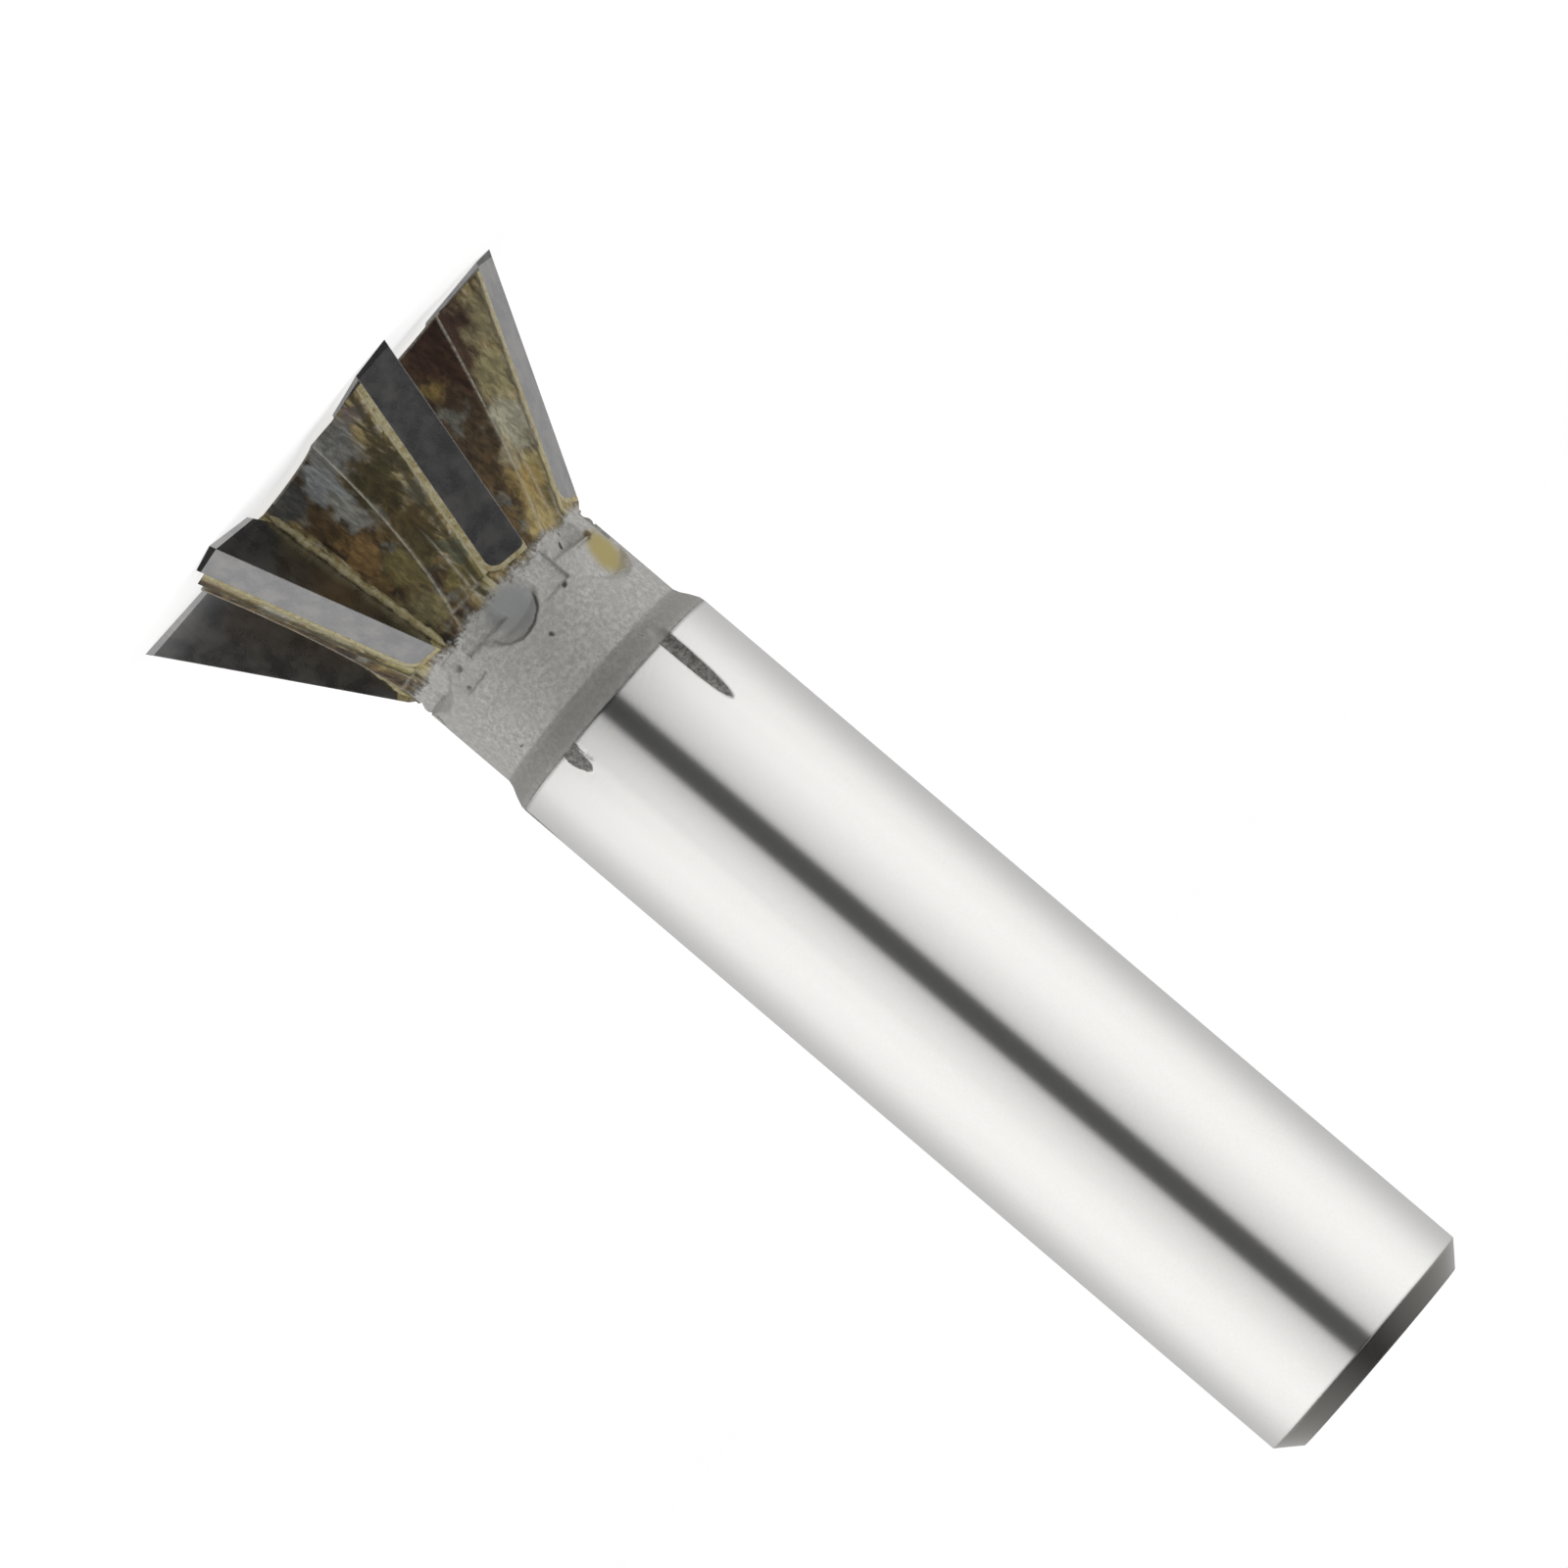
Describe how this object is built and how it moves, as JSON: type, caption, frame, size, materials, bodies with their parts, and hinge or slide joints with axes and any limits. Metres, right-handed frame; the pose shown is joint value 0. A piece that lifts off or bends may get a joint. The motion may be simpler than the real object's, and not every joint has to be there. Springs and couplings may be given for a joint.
{
  "type": "dovetail milling cutter",
  "caption": "Dovetail milling cutter with a flared toothed head, seated carbide tips, a short neck and a plain round shank with a chamfered end.",
  "frame": {"origin": "centre of the plane that the six cutting tips touch, on the cutter's axis", "axes": "+Z along the axis from the tips to the shank end; +X through the cutting tip of tooth 1"},
  "size_m": [0.0308, 0.0274, 0.0807],
  "materials": {
    "steel_body": "ground shank, sandblasted neck, heat-stained teeth",
    "carbide": "fine-ground sintered carbide, dark grey",
    "braze": "dull brazing filler with flux stain"
  },
  "bodies": {
    "root": {"cutter_body": "steel_body", "carbide_tip_1": "carbide", "carbide_tip_2": "carbide", "carbide_tip_3": "carbide", "carbide_tip_4": "carbide", "carbide_tip_5": "carbide", "carbide_tip_6": "carbide", "braze_joint_1": "braze", "braze_joint_2": "braze", "braze_joint_3": "braze", "braze_joint_4": "braze", "braze_joint_5": "braze", "braze_joint_6": "braze"}
  },
  "joints": []
}
